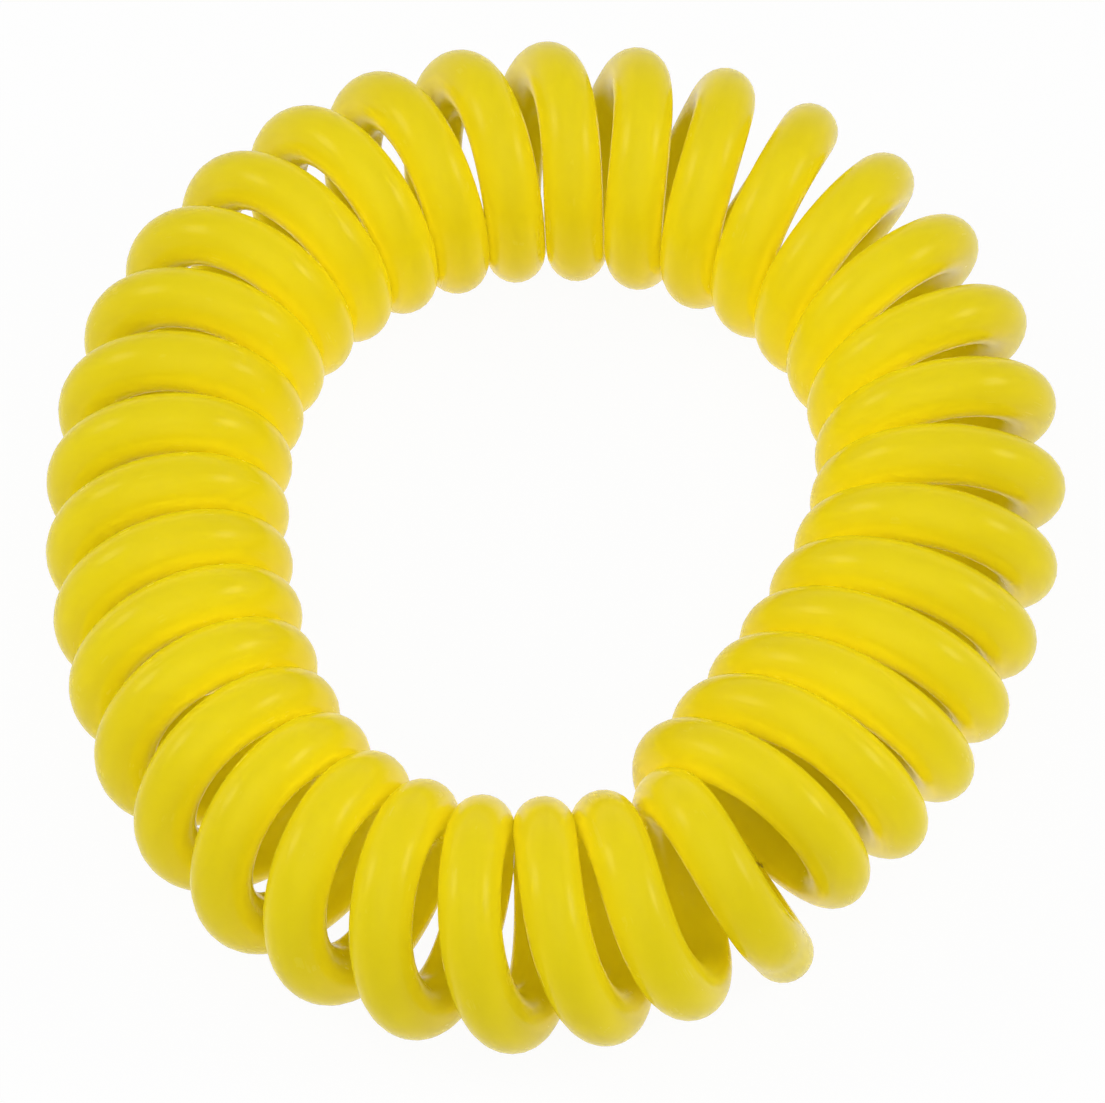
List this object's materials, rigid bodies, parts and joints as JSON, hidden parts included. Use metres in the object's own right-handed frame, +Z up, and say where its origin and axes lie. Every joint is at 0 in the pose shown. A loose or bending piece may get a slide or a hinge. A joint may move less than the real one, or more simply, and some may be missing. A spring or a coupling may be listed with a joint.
{
  "type": "stretch coil wristband",
  "caption": "Springy plastic cord wound into a close coil and joined end to end into an oval ring, worn on the wrist to carry a whistle, key or tag.",
  "frame": {"origin": "on the surface that the ring lies on, under the middle of its box", "axes": "+Z up through the opening for the wrist, +Y along the longer way across the oval ring, +X to the right in the picture"},
  "size_m": [0.074, 0.0838, 0.018],
  "materials": {
    "cord": "satin, softly shiny polyurethane",
    "pin": "satin nylon rod",
    "cement": "hardened clear cement, tinted by the cord"
  },
  "bodies": {
    "root": {"coil_cord": "cord", "joining_pin": "pin", "cement_film": "cement"}
  },
  "joints": []
}
